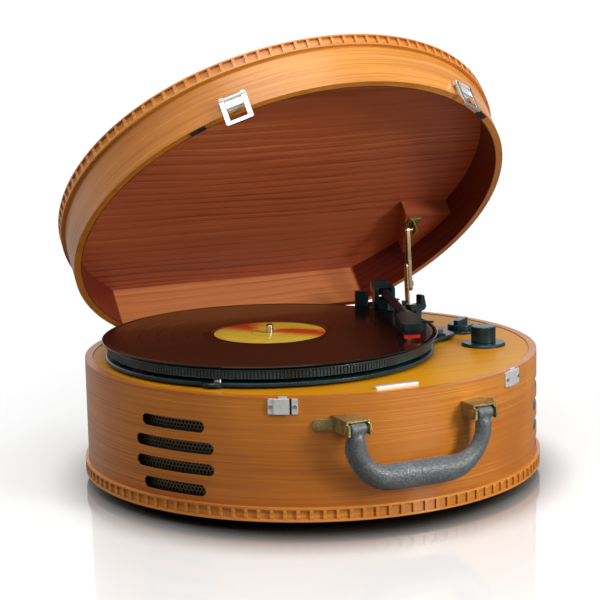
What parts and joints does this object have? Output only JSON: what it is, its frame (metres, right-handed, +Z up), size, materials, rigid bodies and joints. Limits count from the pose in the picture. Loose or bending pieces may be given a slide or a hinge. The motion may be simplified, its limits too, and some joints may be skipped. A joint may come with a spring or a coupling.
{
  "type": "portable record player",
  "caption": "Round bentwood suitcase record player with hinged lid on a stay, belt-driven platter, tonearm, knobs, side loudspeaker slots, latches and leather carrying handle.",
  "frame": {"origin": "on the ground under the middle of the whole object's bounding box, with the lid open as in the rest pose", "axes": "+Z up along the record spindle, -Y towards the carrying handle at the front, +X towards the tonearm and volume knob side"},
  "size_m": [0.416, 0.4164, 0.397],
  "materials": {
    "case_wood": "satin varnished orange-brown ash veneer",
    "deck_wood": "satin ochre-stained veneer",
    "lid_lining": "satin red-brown pine veneer",
    "plain_wood": "unfinished plywood and pine",
    "chrome": "polished",
    "antique_brass": "aged, lightly patinated",
    "black_plastic": "fine satin moulded",
    "grey_plastic": "satin moulded",
    "red_plastic": "gloss moulded",
    "rubber": "matt",
    "vinyl": "pressed grooves, glossy",
    "label_paper": "coated, yellow with red swirl",
    "leather": "pebbled dark grey-brown, stitched",
    "steel": "zinc plated",
    "mesh_black": "black painted perforated steel",
    "circuit_board": "solder-masked laminate",
    "nickel": "nickel plated",
    "aluminium": "turned"
  },
  "bodies": {
    "case": {"cue_lift": "black_plastic", "case_wall": "case_wood", "base_moulding": "case_wood", "floor_panel": "plain_wood", "rubber_feet": "rubber", "deck_panel": "deck_wood", "deck_blocks": "plain_wood", "badge_bar": "chrome", "handle_brackets": "antique_brass", "handle_fasteners": "antique_brass", "latch_strikes": "chrome", "hinge_leaves_base": "chrome", "hinge_pins": "chrome", "base_screws": "chrome", "speaker_grilles": "mesh_black", "speaker_drivers": "steel", "turntable_chassis": "black_plastic", "chassis_grommets": "rubber", "spindle": "chrome", "drive_motor": "steel", "drive_belt": "rubber", "tonearm_base": "black_plastic", "arm_rest": "black_plastic", "stay_bracket_base": "black_plastic", "control_bezels": "black_plastic", "control_pots": "steel", "amp_board": "circuit_board", "rear_socket_plate": "black_plastic", "rear_sockets": "nickel"},
    "lid": {"lid_wall": "case_wood", "lid_panel": "case_wood", "lid_liner": "lid_lining", "lid_moulding": "case_wood", "lid_bumpers": "rubber", "stay_block": "lid_lining", "stay_bracket_lid": "antique_brass", "hinge_leaves_lid": "chrome", "latch_plates": "chrome", "lid_screws": "chrome"},
    "bail_left": {"latch_bail_left": "chrome"},
    "bail_right": {"latch_bail_right": "chrome"},
    "handle": {"handle_grip": "leather"},
    "turntable": {"platter": "black_plastic", "platter_mat": "rubber", "record_disc": "vinyl", "record_label": "label_paper"},
    "pulley": {"motor_pulley": "aluminium"},
    "yoke": {"tonearm_yoke": "black_plastic", "tonearm_pivot_pin": "steel"},
    "arm": {"tonearm_tube": "black_plastic", "counterweight": "black_plastic", "headshell": "black_plastic", "cartridge": "black_plastic", "stylus": "red_plastic"},
    "lever": {"cue_lever": "black_plastic"},
    "volume": {"volume_knob": "black_plastic"},
    "selector": {"speed_selector": "black_plastic"},
    "button": {"stop_button": "grey_plastic"},
    "stay_lower": {"stay_arm_lower": "antique_brass"},
    "stay_upper": {"stay_arm_upper": "antique_brass"}
  },
  "joints": [
    {"name": "lid_hinge", "type": "hinge", "parent": "case", "child": "lid", "pos_m": [0, 0.18191, 0.1231], "axis": [1, 0, 0], "range_deg": [0, 41.5]},
    {"name": "latch_left_swing", "type": "hinge", "parent": "lid", "child": "bail_left", "pos_m": [-0.10868, -0.07051, 0.34856], "axis": [-0.8526, 0.3913, -0.3462], "range_deg": [0, 110]},
    {"name": "latch_right_swing", "type": "hinge", "parent": "lid", "child": "bail_right", "pos_m": [0.10868, -0.07051, 0.34856], "axis": [-0.8526, -0.3913, 0.3462], "range_deg": [0, 110]},
    {"name": "handle_swing", "type": "hinge", "parent": "case", "child": "handle", "pos_m": [-0.004, -0.19719, 0.0895], "axis": [-1, 0, 0], "range_deg": [0, 100]},
    {"name": "platter_spin", "type": "hinge", "parent": "case", "child": "turntable", "pos_m": [-0.0428, 0.01481, 0.121], "axis": [0, 0, -1], "continuous": true},
    {"name": "pulley_spin", "type": "hinge", "parent": "case", "child": "pulley", "pos_m": [-0.1288, 0.06481, 0.1197], "axis": [0, 0, -1], "continuous": true},
    {"name": "tonearm_swing", "type": "hinge", "parent": "case", "child": "yoke", "pos_m": [0.109, 0.08481, 0.135], "axis": [0, 0, 1], "range_deg": [-25.5, 24]},
    {"name": "tonearm_lift", "type": "hinge", "parent": "yoke", "child": "arm", "pos_m": [0.109, 0.08481, 0.145], "axis": [-0.9511, 0.3089, 0], "range_deg": [0, 1.61]},
    {"name": "cue_lever_turn", "type": "hinge", "parent": "case", "child": "lever", "pos_m": [0.135, 0.07481, 0.1227], "axis": [-1, 0, 0], "range_deg": [0, 60]},
    {"name": "volume_turn", "type": "hinge", "parent": "case", "child": "volume", "pos_m": [0.142, -0.04819, 0.1195], "axis": [0, 0, -1], "range_deg": [-150, 150]},
    {"name": "selector_turn", "type": "hinge", "parent": "case", "child": "selector", "pos_m": [0.156, 0.01781, 0.1175], "axis": [0, 0, -1], "range_deg": [-30, 30]},
    {"name": "button_press", "type": "slide", "parent": "case", "child": "button", "axis": [0, 0, -1], "range_m": [0, 0.0012]},
    {"name": "stay_swing", "type": "hinge", "parent": "case", "child": "stay_lower", "pos_m": [0.15, 0.10081, 0.126], "axis": [1, 0, 0], "range_deg": [0, 85.62]},
    {"name": "stay_slide", "type": "slide", "parent": "stay_lower", "child": "stay_upper", "axis": [0, 0.0743, 0.9972], "range_m": [-0.04718, 0]}
  ],
  "couplings": [
    {"joint": "pulley_spin", "follows": "platter_spin", "ratio": 9.2481},
    {"joint": "tonearm_lift", "follows": "cue_lever_turn", "ratio": 0.026667},
    {"joint": "stay_swing", "follows": "lid_hinge", "ratio": 2.0606},
    {"joint": "stay_slide", "follows": "lid_hinge", "m_per_rad": -0.065071}
  ]
}
